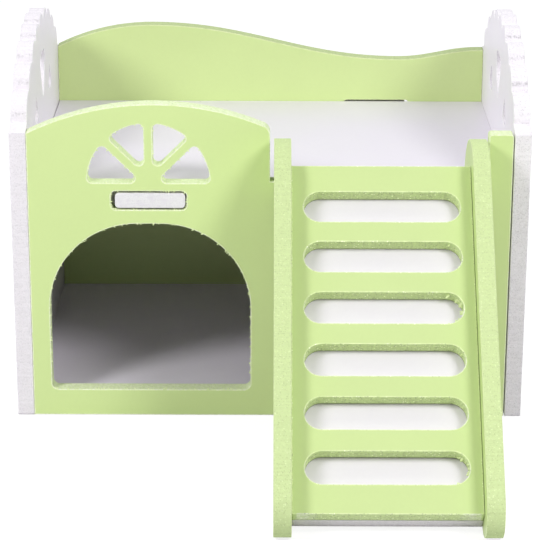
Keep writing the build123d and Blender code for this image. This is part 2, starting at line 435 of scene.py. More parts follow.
class StageSettings(bpy.types.PropertyGroup):
    """The camera, the two lamps and the white room."""

    camera_place: bpy.props.FloatVectorProperty(
        name="Camera Place", description="Where the camera stands",
        default=(0.00006, -0.65304, 0.27019), size=3, subtype="TRANSLATION")
    camera_pitch: bpy.props.FloatProperty(
        name="Camera Pitch", description="How far the camera looks down",
        default=math.radians(19.106), subtype="ANGLE")
    camera_roll: bpy.props.FloatProperty(
        name="Camera Roll", description="How far the camera is tilted to one side",
        default=math.radians(0.191), subtype="ANGLE")
    camera_lens: bpy.props.FloatProperty(
        name="Camera Lens", description="Focal length of the camera",
        default=150.32, min=10.0, max=500.0, unit="CAMERA")
    left_lamp: bpy.props.FloatVectorProperty(
        name="Left Lamp", description="Where the left lamp stands",
        default=(-0.45, -0.465, 0.552), size=3, subtype="TRANSLATION")
    left_power: bpy.props.FloatProperty(
        name="Left Power", description="Strength of the left lamp",
        default=3.0, min=0.0, unit="POWER")
    left_size: bpy.props.FloatProperty(
        name="Left Size", description="Width of the left lamp's face",
        default=0.23, min=0.01, unit="LENGTH")
    right_lamp: bpy.props.FloatVectorProperty(
        name="Right Lamp", description="Where the right lamp stands",
        default=(0.327, -0.424, 0.459), size=3, subtype="TRANSLATION")
    right_power: bpy.props.FloatProperty(
        name="Right Power", description="Strength of the right lamp",
        default=1.84, min=0.0, unit="POWER")
    right_size: bpy.props.FloatProperty(
        name="Right Size", description="Width of the right lamp's face",
        default=0.2, min=0.01, unit="LENGTH")
    room: bpy.props.FloatVectorProperty(
        name="Room", description="Colour of the soft light that the room gives",
        default=(0.97, 1.0, 1.0), size=3, min=0.0, max=1.0, subtype="COLOR")
    room_strength: bpy.props.FloatProperty(
        name="Room Strength", description="Strength of the light from above and behind",
        default=0.6, min=0.0, max=5.0)
    side_strength: bpy.props.FloatProperty(
        name="Side Strength", description="Strength of the soft light from both sides",
        default=1.0, min=0.0, max=5.0)


class HouseSettings(bpy.types.PropertyGroup):
    """All settings of the house and its stage."""

    board: bpy.props.PointerProperty(type=BoardSettings)
    finish: bpy.props.PointerProperty(type=FinishSettings)
    burr: bpy.props.PointerProperty(type=BurrSettings)
    stage: bpy.props.PointerProperty(type=StageSettings)


# Finishes


def skin_group():
    """Face of a rolled board: faint mottling, a fine orange peel and a few specks."""
    name = "board_skin"
    if name in bpy.data.node_groups:
        return bpy.data.node_groups[name]
    inputs = {"Vector": "Vector", "Mottle": 0.04}
    outputs = {"Tone": "Float", "Roughness": "Float", "Height": "Float"}
    tree, given, out = new_group(name, "ShaderNodeTree", inputs, outputs)
    place = given["Vector"]
    cloud = noise(tree, place, CLOUD_SCALE, detail=3.0)
    peel = noise(tree, place, PEEL_SCALE, detail=2.0)
    speck = add(tree, "ShaderNodeTexVoronoi", {"Vector": place, "Scale": SPECK_SCALE}).outputs
    dot = ramp(tree, speck["Distance"], *SPECK_RADII, 1.0, 0.0)
    kind = result(tree, "ShaderNodeSeparateColor", {0: speck["Color"]})
    dot = times(tree, dot, math_node(tree, "GREATER_THAN", kind, SPECK_CHOICE))
    tone = plus(tree, swing(tree, cloud, given["Mottle"]), swing(tree, peel, PEEL_TONE))
    tone = minus(tree, plus(tree, tone, 1.0), times(tree, dot, SPECK_TONE))
    tree.links.new(tone, out["Tone"])
    tree.links.new(ramp(tree, cloud, *CLOUD_RANGE, *SKIN_ROUGHNESS), out["Roughness"])
    tree.links.new(times(tree, peel, PEEL_HEIGHT), out["Height"])
    return tree


def foam_group():
    """Sawn edge of foamed board: open cells with painted shade in their pits, sparkles, the marks of the
    cutter and torn places.
    """
    name = "sawn_foam"
    if name in bpy.data.node_groups:
        return bpy.data.node_groups[name]
    inputs = {"Vector": "Vector", "Run": 0.0, "Torn": 0.0, "Cell Size": 0.00045, "Contrast": 1.0}
    outputs = {"Tone": "Float", "Pale": "Float", "Height": "Float"}
    tree, given, out = new_group(name, "ShaderNodeTree", inputs, outputs)
    place = given["Vector"]
    contrast = given["Contrast"]
    swell = plus(tree, times(tree, contrast, CELL_SWELL), CELL_BASE)
    scale = math_node(tree, "DIVIDE", 1.0, times(tree, given["Cell Size"], swell))
    cell = add(tree, "ShaderNodeTexVoronoi", {"Vector": place, "Scale": scale}).outputs
    kind = add(tree, "ShaderNodeSeparateColor", {0: cell["Color"]}).outputs
    near = ramp(tree, cell["Distance"], *CELL_RADII, 1.0, 0.0)
    pit = times(tree, near, ramp(tree, kind[1], *PIT_RANGE))
    sparkle = times(tree, near, ramp(tree, kind[0], *SPARKLE_RANGE))
    grain = noise(tree, place, GRAIN_SCALE, detail=3.0)
    patch = noise(tree, place, PATCH_SCALE, detail=2.0)
    sockets = {"W": given["Run"], "Scale": MARK_SCALE, "Detail": 3.0}
    marks = result(tree, "ShaderNodeTexNoise", sockets, noise_dimensions="1D")
    ragged = ramp(tree, noise(tree, place, TEAR_SCALE, detail=4.0), *TEAR_RANGE)
    dark = times(tree, ragged, math_node(tree, "MAXIMUM", given["Torn"], 0.0))

    tone = plus(tree, swing(tree, grain, GRAIN_TONE), swing(tree, patch, PATCH_TONE))
    # Pits are darkened with painted shade, as well as dented
    tone = minus(tree, tone, times(tree, pit, PIT_SHADE_TONE))
    tone = plus(tree, tone, times(tree, sparkle, SPARKLE_TONE))
    tone = minus(tree, tone, times(tree, dark, TEAR_TONE))
    tone = plus(tree, times(tree, tone, contrast), swing(tree, marks, MARK_TONE))
    tree.links.new(plus(tree, tone, FOAM_TONE), out["Tone"])

    lifted = times(tree, math_node(tree, "MINIMUM", given["Torn"], 0.0), -1.0)
    lifted = times(tree, lifted, plus(tree, times(tree, ragged, LIFT_RAGGED), LIFT_BASE))
    glints = math_node(tree, "MULTIPLY", times(tree, sparkle, GLINT_SHARE), contrast, clamp=True)
    tree.links.new(math_node(tree, "MAXIMUM", lifted, glints), out["Pale"])

    height = minus(tree, times(tree, marks, MARK_HEIGHT), times(tree, pit, PIT_HEIGHT))
    height = minus(tree, height, times(tree, dark, TEAR_HEIGHT))
    tree.links.new(plus(tree, height, times(tree, grain, GRAIN_HEIGHT)), out["Height"])
    return tree


def arris_group():
    """Corner of a board: a pale line between face and sawn edge, partly wear and partly a painted highlight,
    broken where the foam isn't bare.
    """
    name = "rubbed_arris"
    if name in bpy.data.node_groups:
        return bpy.data.node_groups[name]
    inputs = {"Vector": "Vector", "Cut": 0.0, "Bare": 0.0}
    tree, given, out = new_group(name, "ShaderNodeTree", inputs, {"Mask": "Float"})
    off = math_node(tree, "ABSOLUTE", minus(tree, given["Cut"], 0.5))
    line = ramp(tree, off, *LINE_RANGE, 1.0, 0.0)
    gaps = noise(tree, given["Vector"], BREAK_SCALE, detail=3.0)
    broken = ramp(tree, gaps, *BREAK_RANGE, *BREAK_STRENGTH)
    broken = math_node(tree, "MAXIMUM", broken, given["Bare"])
    tree.links.new(times(tree, line, broken), out["Mask"])
    return tree


def board_finish(name, skin, foam, arris, mottle, contrast):
    """Material of a board: face, sawn edges and corners with a pale line of wear and painted highlight, told
    apart by the cut attribute.
    """
    if name in bpy.data.materials:
        return bpy.data.materials[name]
    material = bpy.data.materials.new(name)
    material.use_nodes = True
    tree = material.node_tree
    shader = tree.nodes["Principled BSDF"]
    place = add(tree, "ShaderNodeTexCoord").outputs["Object"]

    def given(attribute):
        """The value that the mesh carries under a name."""
        return add(tree, "ShaderNodeAttribute", attribute_name=attribute).outputs["Fac"]

    def tinted(colour, tone):
        """A colour made lighter or darker by a tone and by the painted light and shade of the piece."""
        return scaled(tree, tuple(colour), times(tree, tone, sheet))

    cut = given("cut")
    # Each piece carries a tone that paints light and shade onto it
    sheet = given("sheet")
    face = add(tree, "ShaderNodeGroup", {"Vector": place, "Mottle": mottle}, node_tree=skin_group()).outputs
    coarse = times(tree, given("coarse"), contrast)
    sockets = {"Vector": place, "Run": given("run"), "Torn": given("torn"), "Contrast": coarse}
    edge = add(tree, "ShaderNodeGroup", sockets, node_tree=foam_group()).outputs
    lifted = math_node(tree, "MULTIPLY", edge["Pale"], RIM_LIFT, clamp=True)
    sockets = {"Vector": place, "Cut": cut, "Bare": lifted}
    highlight_and_wear = add(tree, "ShaderNodeGroup", sockets, node_tree=arris_group()).outputs["Mask"]
    sawn = ramp(tree, cut, *SAWN_RANGE)

    bare = tinted([BARE_BASE + BARE_SHARE * part for part in arris], edge["Tone"])
    # The pale line on each corner is partly wear and partly a painted highlight
    pale = blended(tree, tinted(arris, edge["Tone"]), bare, lifted)
    open_cells = blended(tree, tinted(foam, edge["Tone"]), bare, edge["Pale"])
    colour = blended(tree, tinted(skin, face["Tone"]), open_cells, sawn)
    colour = blended(tree, colour, pale, highlight_and_wear)
    # Painted shade darkens the foot of a sawn edge, where it meets the board below
    colour = scaled(tree, colour, minus(tree, 1.0, times(tree, given("soil"), FOOT_SHADE_TONE)))
    tree.links.new(colour, shader.inputs["Base Color"])
    rough = blended(tree, face["Roughness"], FOAM_ROUGHNESS, sawn, "FLOAT")
    tree.links.new(rough, shader.inputs["Roughness"])
    height = blended(tree, face["Height"], edge["Height"], sawn, "FLOAT")
    sockets = {"Height": height, "Strength": BUMP_STRENGTH, "Distance": BUMP_DEPTH}
    tree.links.new(add(tree, "ShaderNodeBump", sockets).outputs["Normal"], shader.inputs["Normal"])
    shader.inputs["Specular IOR Level"].default_value = GLOSS
    return material


def green_finish(settings):
    """The green board."""
    finish = settings.finish
    return board_finish("green_foam_board", finish.green_skin, finish.green_foam, finish.green_arris,
                        mottle=0.05, contrast=0.8)


def white_finish(settings):
    """The white board."""
    finish = settings.finish
    return board_finish("white_foam_board", finish.white_skin, finish.white_foam, finish.white_arris,
                        mottle=0.02, contrast=0.6)


# Boards


def set_inputs(modifier, values):
    """Fills a nodes modifier's inputs, which are found by name and set by identifier."""
    for item in modifier.node_group.interface.items_tree:
        if item.item_type == "SOCKET" and item.in_out == "INPUT" and item.name in values:
            modifier[item.identifier] = values[item.name]


def line_object(name, lines, closed, torn=None):
    """A curve object of straight runs through the points of each line, whose tilt says how torn each is."""
    curve = bpy.data.curves.new(name, "CURVE")
    curve.dimensions = "3D"
    for number, line in enumerate(lines):
        spline = curve.splines.new("POLY")
        spline.points.add(len(line) - 1)
        for count, (point, place) in enumerate(zip(spline.points, line)):
            point.co = (*place, 1.0)
            point.tilt = torn[number][count] if torn else 0.0
        spline.use_cyclic_u = closed
    made = bpy.data.objects.new(name, curve)
    bpy.context.scene.collection.objects.link(made)
    return made


def grown(host, tree, values):
    """Runs a nodes tree on an object, and returns what it makes as a plain mesh."""
    modifier = host.modifiers.new("grow", "NODES")
    modifier.node_group = tree
    set_inputs(modifier, values)
    bpy.context.view_layer.update()
    evaluated = host.evaluated_get(bpy.context.evaluated_depsgraph_get())
    mesh = bpy.data.meshes.new_from_object(evaluated)
    host.modifiers.remove(modifier)
    return mesh


def remove(*lines):
    """Removes helper curves and their objects."""
    for made in lines:
        curve = made.data
        bpy.data.objects.remove(made)
        bpy.data.curves.remove(curve)


def board_tree():
    """Tree that sweeps an edge section round the outlines of a board and closes its two faces."""
    name = "sawn_board"
    if name in bpy.data.node_groups:
        return bpy.data.node_groups[name]
    inputs = {
        "Outlines": "Geometry", "Edge Section": "Object", "Thickness": 0.005, "Rim Width": 0.0004,
        "Ripple": 0.0001, "Ripple Length": 0.002, "Face Cut": 0.0, "Tone And Painted Light": 1.0, "Edge Tone And Painted Light": 1.0,
        "Foot Shade": 0.0, "Coarseness": 1.0, "Seed": 0.0, "Finish": "Material",
    }
    tree, given, out = new_group(name, "GeometryNodeTree", inputs, {"Board": "Geometry"})

    # The outline's tilt carries how torn the edge is, and is then taken off.
    path = stored(tree, given["Outlines"], "torn", result(tree, "GeometryNodeInputCurveTilt"))
    path = result(tree, "GeometryNodeSetCurveTilt", {"Curve": path, "Tilt": 0.0})
    path = result(tree, "GeometryNodeSetCurveNormal", {"Curve": path}, mode="Z_UP")
    path = stored(tree, path, "run", add(tree, "GeometryNodeSplineParameter").outputs["Length"])
    path = stored(tree, path, "away", result(tree, "GeometryNodeInputNormal"), "FLOAT_VECTOR")
    away = carried(tree, "away", "FLOAT_VECTOR")

    # The section's two end rings lie in the faces, and the rings between them are sawn.
    section = add(tree, "GeometryNodeObjectInfo", {"Object": given["Edge Section"]}).outputs["Geometry"]
    index = result(tree, "GeometryNodeInputIndex")
    count = add(tree, "GeometryNodeSplineLength").outputs["Point Count"]
    nearer = math_node(tree, "MINIMUM", index, minus(tree, minus(tree, count, 1.0), index))
    section = stored(tree, section, "cut", math_node(tree, "MULTIPLY", nearer, 1 / ARRIS_RINGS, clamp=True))
    # Rings at the foot get painted shade where the piece asks for it
    foot = math_node(tree, "SUBTRACT", FOOT_RINGS, index, clamp=True)
    section = stored(tree, section, "soil", times(tree, foot, given["Foot Shade"]))
    edges = result(tree, "GeometryNodeCurveToMesh", {"Curve": path, "Profile Curve": section})
    edges = result(tree, "GeometryNodeFlipFaces", {0: edges})
    edges = result(tree, "GeometryNodeSetShadeSmooth", {0: edges, "Shade Smooth": True})

    # Saw marks only take material away.
    position = result(tree, "GeometryNodeInputPosition")
    sockets = {0: position, 1: MARK_STRETCH}
    stretched = result(tree, "ShaderNodeVectorMath", sockets, operation="MULTIPLY")
    scale = math_node(tree, "DIVIDE", 1.0, given["Ripple Length"])
    sockets = {"Vector": stretched, "W": given["Seed"], "Scale": scale, "Detail": 2.0}
    waves = result(tree, "ShaderNodeTexNoise", sockets, noise_dimensions="4D")
    depth = times(tree, times(tree, waves, carried(tree, "cut")), given["Ripple"])
    edges = moved(tree, edges, scaled(tree, away, times(tree, depth, -1.0)))

    rim = moved(tree, path, scaled(tree, away, times(tree, given["Rim Width"], -1.0)))
    face = result(tree, "GeometryNodeFillCurve", {0: rim})
    face = stored(tree, face, "cut", given["Face Cut"])
    upper = moved(tree, face, upright(tree, given["Thickness"]))
    lower = result(tree, "GeometryNodeFlipFaces", {0: face})
    joined = add(tree, "GeometryNodeJoinGeometry")
    for part in (lower, upper, edges):
        tree.links.new(part, joined.inputs[0])
    sockets = {"Geometry": joined.outputs[0], "Distance": RIM_WELD}
    board = result(tree, "GeometryNodeMergeByDistance", sockets)
    board = result(tree, "GeometryNodeRemoveAttribute", {"Geometry": board, "Name": "away"})
    # The piece's tone, and another on its sawn edges, paint light and shade onto it
    sockets = {0: carried(tree, "cut"), 3: 1.0, 4: given["Edge Tone And Painted Light"]}
    tone = times(tree, result(tree, "ShaderNodeMapRange", sockets), given["Tone And Painted Light"])
    board = stored(tree, board, "sheet", tone)
    board = stored(tree, board, "coarse", given["Coarseness"])
    board = result(tree, "GeometryNodeRealizeInstances", {0: board})
    board = result(tree, "GeometryNodeSetMaterial", {"Geometry": board, "Material": given["Finish"]})
    tree.links.new(board, out["Board"])
    return tree


def shell_of(node):
    """A CAD node's shell, with its loose triangles welded."""
    shell = bmesh.new()
    shell.from_mesh(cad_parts[node].data)
    bmesh.ops.remove_doubles(shell, verts=shell.verts, dist=SHELL_WELD)
    shell.normal_update()
    return shell


def board_facing(node, towards):
    """The direction of a board's large flat face on the side that is named."""
    shell = shell_of(node)
    areas = {}
    for face in shell.faces:
        if face.normal.dot(towards) > FACING_LIMIT:
            key = tuple(round(part, 3) for part in face.normal)
            areas[key] = areas.get(key, 0.0) + face.calc_area()
    shell.free()
    return Vector(max(areas, key=areas.get)).normalized()


def plane_of(facing, height):
    """Matrix that lays the flat plane on a board, with Z where the board faces and the origin at a height."""
    across = RIGHT if abs(facing.x) < SIDEWAYS_LIMIT else BACK
    across = (across - facing * across.dot(facing)).normalized()
    matrix = Matrix((across, facing.cross(across), facing)).transposed().to_4x4()
    matrix.translation = facing * height
    return matrix


def face_outlines(node, facing):
    """Outlines of a node's outermost flat face, with the board on the left of each, and the face's height."""
    shell = shell_of(node)
    height = max(vert.co.dot(facing) for vert in shell.verts)
    flat = [face for face in shell.faces
            if all(height - vert.co.dot(facing) < FLAT_LIMIT for vert in face.verts)]
    chosen = set(flat)
    follows = {}
    for face in flat:
        for loop in face.loops:
            if sum(other in chosen for other in loop.edge.link_faces) == 1:
                follows[loop.vert] = loop.link_loop_next.vert
    outlines = []
    while follows:
        first, here = follows.popitem()
        outline = [first.co.copy()]
        while here is not first:
            outline.append(here.co.copy())
            here = follows.pop(here)
        outlines.append(outline)
    shell.free()
    return outlines, height


def divided(outline, step):
    """A closed outline with points no further apart than the step, and with its corners kept."""
    corners = outline[:1]
    for place in outline[1:]:
        if min((place - corners[-1]).length, (place - outline[0]).length) > step * CORNER_SHARE:
            corners.append(place)
    points = []
    for start, end in zip(corners, corners[1:] + corners[:1]):
        count = max(1, math.ceil((end - start).length / step))
        points += [start.lerp(end, part / count) for part in range(count)]
    return points


def reach_along(places, way):
    """The lowest and the highest of some places along a direction."""
    heights = [place.dot(way) for place in places]
    return min(heights), max(heights)


def width_of(outline):
    """An outline's width from left to right."""
    low, high = reach_along(outline, RIGHT)
    return high - low


def edge_section(thickness, arris, pale_band, step):
    """Points of a board's edge from its lower face to its upper one, as distance inward and height."""
    turns = (0, math.pi / 4, math.pi / 2)
    rounding = [(arris * (1 - math.sin(turn)), arris * (1 - math.cos(turn))) for turn in turns]
    rounding.insert(0, (arris + pale_band, 0.0))
    rings = max(2, math.ceil((thickness - 2 * arris) / (RING_STEP * step)))
    straight = [(0.0, arris + (thickness - 2 * arris) * part / rings) for part in range(1, rings)]
    return rounding + straight + [(inward, thickness - height) for inward, height in reversed(rounding)]


def board_mesh(settings, outlines, facing, height, thickness, finish, torn=None, pale_band=None, **options):
    """Mesh of a board with that upper face, sawn and finished, with its own width of pale band if one is
    given.
    """
    board = settings.board
    pale_band = board.pale_band if pale_band is None else pale_band
    lay = plane_of(facing, height - thickness)
    flat = lay.inverted()
    places = [divided(outline, board.step) for outline in outlines]
    lines = [[(*(flat @ place).to_2d(), 0.0) for place in outline] for outline in places]
    weights = [[torn(place) for place in outline] for outline in places] if torn else None
    section = edge_section(thickness, board.arris, pale_band, board.step)
    path = line_object("outline_path", lines, True, weights)
    profile = line_object("edge_profile", [[(-inward, -rise, 0.0) for inward, rise in section]], False)
    values = {"Edge Section": profile, "Thickness": thickness, "Rim Width": board.arris + pale_band,
              "Ripple": board.ripple, "Ripple Length": board.ripple_length, "Finish": finish}
    mesh = grown(path, board_tree(), {**values, **options})
    remove(path, profile)
    if len(mesh.polygons) == 0:
        raise RuntimeError("the board tree made no faces")
    mesh.transform(lay)
    return mesh


def placed(name, mesh, body, node):
    """Object of a finished piece, which rides on its body and stands for its CAD node."""
    mesh.name = name
    piece = bpy.data.objects.new(name, mesh)
    bpy.context.scene.collection.objects.link(piece)
    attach(piece, body)
    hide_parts(node)
    return piece


def thickness_of(node, facing):
    """A board's thickness, measured along its facing."""
    low, high = reach_along([vert.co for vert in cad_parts[node].data.vertices], facing)
    return high - low


def sawn_piece(settings, name, node, towards, body, slot, sheet, trim=None, torn=None, pale_band=None):
    """A board like its CAD node, seen from the side that is named."""
    facing = board_facing(node, towards)
    outlines, height = face_outlines(node, facing)
    if trim:
        trim(outlines)
    finish = green_finish(settings) if slot == "green_board" else white_finish(settings)
    thickness = thickness_of(node, facing)
    mesh = board_mesh(settings, outlines, facing, height, thickness, finish, torn, pale_band, **sheet)
    return placed(name, mesh, body, node)


def burr_tree():
    """Tree that stands torn flakes of foam along the rim of an opening."""
    name = "cut_burrs"
    if name in bpy.data.node_groups:
        return bpy.data.node_groups[name]
    inputs = {
        "Rims": "Geometry", "Length": 0.0007, "Spacing": 0.0008, "Share": 0.2, "Sink": 0.0002,
        "Tone And Painted Light": 1.0, "Seed": 0, "Finish": "Material",
    }
    tree, given, out = new_group(name, "GeometryNodeTree", inputs, {"Burrs": "Geometry"})

    def chance(limits, shift):
        """A value for each point between two limits."""
        seed = plus(tree, given["Seed"], shift)
        sockets = {RANDOM_LOW: limits[0], RANDOM_HIGH: limits[1], RANDOM_SEED: seed}
        return add(tree, "FunctionNodeRandomValue", sockets, data_type="FLOAT").outputs[RANDOM_VALUE]

    rims = result(tree, "GeometryNodeSetCurveNormal", {"Curve": given["Rims"]}, mode="Z_UP")
    sockets = {"Curve": rims, "Length": given["Spacing"]}
    stood = add(tree, "GeometryNodeCurveToPoints", sockets, mode="LENGTH").outputs
    sockets = {RANDOM_CHANCE: given["Share"], RANDOM_SEED: given["Seed"]}
    picked = add(tree, "FunctionNodeRandomValue", sockets, data_type="BOOLEAN").outputs[RANDOM_CHOICE]
    lean = vector_sum(tree, stood["Normal"], scaled(tree, stood["Tangent"], chance(BURR_SKEW, 1)))
    lean = vector_sum(tree, lean, upright(tree, chance(BURR_DROP, 2)))
    turn = result(tree, "FunctionNodeAlignRotationToVector", {"Vector": lean}, axis="Z")
    size = times(tree, given["Length"], chance(BURR_SIZE, 3))
    sunk = times(tree, given["Sink"], chance(BURR_SINK, 4))
    root = vector_sum(tree, scaled(tree, stood["Normal"], BURR_ROOT), upright(tree, sunk))
    flake = result(tree, "GeometryNodeMeshCone", BURR_SHAPE)
    sockets = {"Points": moved(tree, stood["Points"], root), "Selection": picked, "Instance": flake,
               "Rotation": turn, "Scale": size}
    burrs = result(tree, "GeometryNodeInstanceOnPoints", sockets)
    burrs = result(tree, "GeometryNodeRealizeInstances", {0: burrs})
    # The burrs carry a tone in the same attribute that paints light and shade onto the boards
    for attribute, value in (("cut", 0.5), ("sheet", given["Tone And Painted Light"]), ("coarse", 1.0)):
        burrs = stored(tree, burrs, attribute, value)
    burrs = result(tree, "GeometryNodeSetMaterial", {"Geometry": burrs, "Material": given["Finish"]})
    tree.links.new(burrs, out["Burrs"])
    return tree


def burrs_on(settings, rim, facing, height, finish, closed=True, **options):
    """Mesh of the burrs along a rim that lies in a face."""
    lay = plane_of(facing, height)
    flat = lay.inverted()
    path = line_object("rim_path", [[(*(flat @ place).to_2d(), 0.0) for place in rim]], closed)
    burr = settings.burr
    values = {"Length": burr.length, "Spacing": burr.spacing, "Share": burr.share, "Finish": finish}
    mesh = grown(path, burr_tree(), {**values, **options})
    remove(path)
    mesh.transform(lay)
    return mesh


def merged(piece, meshes):
    """Joins meshes into a piece."""
    others = [bpy.data.objects.new("addition", mesh) for mesh in meshes]
    for other in others:
        bpy.context.scene.collection.objects.link(other)
    with bpy.context.temp_override(active_object=piece, selected_editable_objects=[piece, *others]):
        bpy.ops.object.join()


# Operators, one for each group of like pieces


class FrontPanel(bpy.types.Operator):
    """Makes the front panel, with the gaps that it leaves beside the side panels"""

    bl_idname = "hamster_house.front_panel"
    bl_label = "Front Panel"

    def execute(self, context):
        settings = context.scene.hamster_house
        low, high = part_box("front_panel")

        def pull_in(outlines):
            """Moves the two upright ends away from the side panels."""
            for place in (place for outline in outlines for place in outline):
                if place.x > high.x - FRONT_RIGHT_END:
                    place.x -= settings.board.right_seam
                elif place.x < low.x + FRONT_LEFT_END:
                    place.x += settings.board.left_seam

        piece = sawn_piece(settings, "front_board", "front_panel", FRONT, "house", "green_board", FRONT_SHEET,
                           pull_in, lambda place: FRONT_TORN, settings.board.front_pale_band)
        merged(piece, self.burrs(settings))
        return {"FINISHED"}

    def burrs(self, settings):
        """Burrs round the doorway, the window and the slot of the tenon."""
        outlines, height = face_outlines("front_panel", FRONT)
        widest = max(width_of(outline) for outline in outlines)
        made = []
        for count, outline in enumerate(outlines):
            width = width_of(outline)
            if width == widest:
                continue
            low, high = reach_along(outline, UP)
            if high - low < SLOT_FLATNESS * width:
                share, length = SLOT_BURRS
            else:
                share, length = LIGHT_BURRS if width < LIGHT_WIDTH else DOOR_BURRS
            options = {"Share": settings.burr.share * share, "Length": settings.burr.length * length,
                       "Tone And Painted Light": FRONT_BURR_TONE, "Seed": FRONT_BURR_SEED + count}
            rim = divided(outline, settings.board.step)
            made.append(burrs_on(settings, rim, FRONT, height, green_finish(settings), **options))
        return made


class BackPanel(bpy.types.Operator):
    """Makes the waved back panel"""

    bl_idname = "hamster_house.back_panel"
    bl_label = "Back Panel"

    def execute(self, context):
        settings = context.scene.hamster_house
        sawn_piece(settings, "back_board", "back_panel", FRONT, "house", "green_board", BACK_SHEET)
        return {"FINISHED"}


class SidePanels(bpy.types.Operator):
    """Makes the two scalloped side panels"""

    bl_idname = "hamster_house.side_panels"
    bl_label = "Side Panels"

    def execute(self, context):
        settings = context.scene.hamster_house
        for side, facing, sheet in (("left", LEFT, LEFT_SIDE_SHEET), ("right", RIGHT, RIGHT_SIDE_SHEET)):
            node = f"{side}_side_panel"
            sawn_piece(settings, f"{side}_side_board", node, facing, "house", "white_board", sheet,
                       torn=self.crease(node, facing))
        return {"FINISHED"}

    def crease(self, node, facing):
        """Function that says how near a place is to a scallop's torn flank, which is on its lower side."""
        outlines, _ = face_outlines(node, facing)
        valleys = []
        for outline in outlines:
            for before, here, after in zip(outline[-1:] + outline[:-1], outline, outline[1:] + outline[:1]):
                turn = (here - before).cross(after - here).dot(facing)
                if turn < VALLEY_TURN * (here - before).length * (after - here).length:
                    valleys.append(here)
        places = [place for outline in outlines for place in divided(outline, FLANK_STEP)]
        flanks = []
        for first, second in zip(valleys, valleys[1:]):
            if (second - first).length < SCALLOP_REACH:
                lower = min(first, second, key=lambda place: place.z)
                aim = ((first + second) / 2).lerp(lower, FLANK_SHARE)
                flanks.append(min(places, key=lambda place: (place - aim).length))
        return lambda place: max(math.exp(-((place - flank).length / FLANK_WIDTH) ** 2) for flank in flanks)


class DeckAndFloor(bpy.types.Operator):
    """Makes the floor and the deck, whose tenons show in the walls"""

    bl_idname = "hamster_house.deck_and_floor"
    bl_label = "Deck and Floor"

    def execute(self, context):
        settings = context.scene.hamster_house
        sawn_piece(settings, "floor_board", "floor", UP, "house", "white_board", FLOOR_SHEET)
        finish = white_finish(settings)
        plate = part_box("floor")
        low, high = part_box("deck")
        outlines, _ = face_outlines("floor", UP)
        for place in (place for outline in outlines for place in outline):
            if place.x < plate[0].x + DECK_END:
                place.x += settings.board.deck_seam
        deck = board_mesh(settings, outlines, UP, high.z, high.z - low.z, finish, **DECK_SHEET)
        piece = placed("deck_board", deck, "house", "deck")
        tenons = []
        for count, side in enumerate((FRONT, BACK, LEFT, RIGHT)):
            outlines, height = face_outlines("deck", side)
            self.rub_down(outlines, settings.board.tenon_gap)
            depth = height - max(corner.dot(side) for corner in plate)
            tenons.append(board_mesh(settings, outlines, side, height, depth, finish,
                                     **{**TENON_SHEET, "Seed": TENON_SEED + count}))
        merged(piece, tenons)
        return {"FINISHED"}

    def rub_down(self, outlines, gap):
        """Moves the points of each outline towards its middle."""
        for outline in outlines:
            middle = sum(outline, Vector()) / len(outline)
            for place in outline:
                for axis in range(3):
                    off = place[axis] - middle[axis]
                    if abs(off) > gap:
                        place[axis] -= math.copysign(gap, off)


class LadderTread(bpy.types.Operator):
    """Makes the slotted tread of the ladder and the white board behind it"""

    bl_idname = "hamster_house.ladder_tread"
    bl_label = "Ladder Tread"

    def execute(self, context):
        settings = context.scene.hamster_house
        low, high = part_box("ladder_tread")
        middle = (low.x + high.x) / 2
        reach = (high.x - low.x) / 2
        upward = board_facing("ladder_tread", UP).cross(RIGHT)
        levels = [sum(reach_along(slot, upward)) / 2 for slot in self.slots()]

        def ends(place):
            """Says how near a place is to the lower part of a slot's round end, where the foam is pale."""
            if abs(place.x - middle) > reach - TREAD_END:
                return 0.0
            out = (abs(place.x - middle) / reach - TORN_FROM) / TORN_FADE
            above = min((place.dot(upward) - level for level in levels), key=abs)
            down = TORN_MIDDLE - above / TORN_HEIGHT
            return -min(max(out, 0.0), 1.0) * min(max(down, 0.0), 1.0)

        def pull_in(outlines):
            """Moves the right end away from the rail."""
            for place in (place for outline in outlines for place in outline):
                if place.x > high.x - TREAD_END:
                    place.x -= settings.board.tread_seam

        piece = sawn_piece(settings, "tread_board", "ladder_tread", UP, "ladder", "green_board", TREAD_SHEET,
                           pull_in, ends)
        merged(piece, self.flakes(settings, middle + FLAKE_FROM * reach))
        sawn_piece(settings, "backing_board", "ladder_backing", UP, "ladder", "white_board", BACKING_SHEET)
        return {"FINISHED"}

    def slots(self):
        """Outlines of the slots in the tread, from the top one down."""
        outlines, _ = face_outlines("ladder_tread", board_facing("ladder_tread", UP))
        widest = max(width_of(outline) for outline in outlines)
        slots = [outline for outline in outlines if width_of(outline) < widest]
        return sorted(slots, key=lambda outline: -outline[0].z)

    def flakes(self, settings, start):
        """Small burrs all along the rims of the slots, and torn flakes round their right ends."""
        facing = board_facing("ladder_tread", UP)
        _, height = face_outlines("ladder_tread", facing)
        finish = green_finish(settings)
        sink = thickness_of("ladder_tread", facing) * FLAKE_SINK
        length = settings.burr.length
        made = []
        for count, (slot, torn) in enumerate(zip(self.slots(), TORN_ENDS)):
            rim = divided(slot, settings.board.step)
            options = {"Length": length * RIM_BURR_LENGTH, "Tone And Painted Light": RIM_BURR_TONE,
                       "Seed": RIM_BURR_SEED + count}
            made.append(burrs_on(settings, rim, facing, height, finish, **options))
            end = [place for place in rim if place.x > start]
            gap = next((at for at in range(1, len(end)) if (end[at] - end[at - 1]).length > FLAKE_GAP), 0)
            end = end[gap:] + end[:gap]
            options = {"Length": length * FLAKE_LENGTH * torn, "Spacing": FLAKE_SPACING,
                       "Share": FLAKE_SHARE * torn, "Sink": sink, "Tone And Painted Light": FLAKE_TONE,
                       "Seed": FLAKE_SEED + count}
            made.append(burrs_on(settings, end, facing, height, finish, False, **options))
        return made


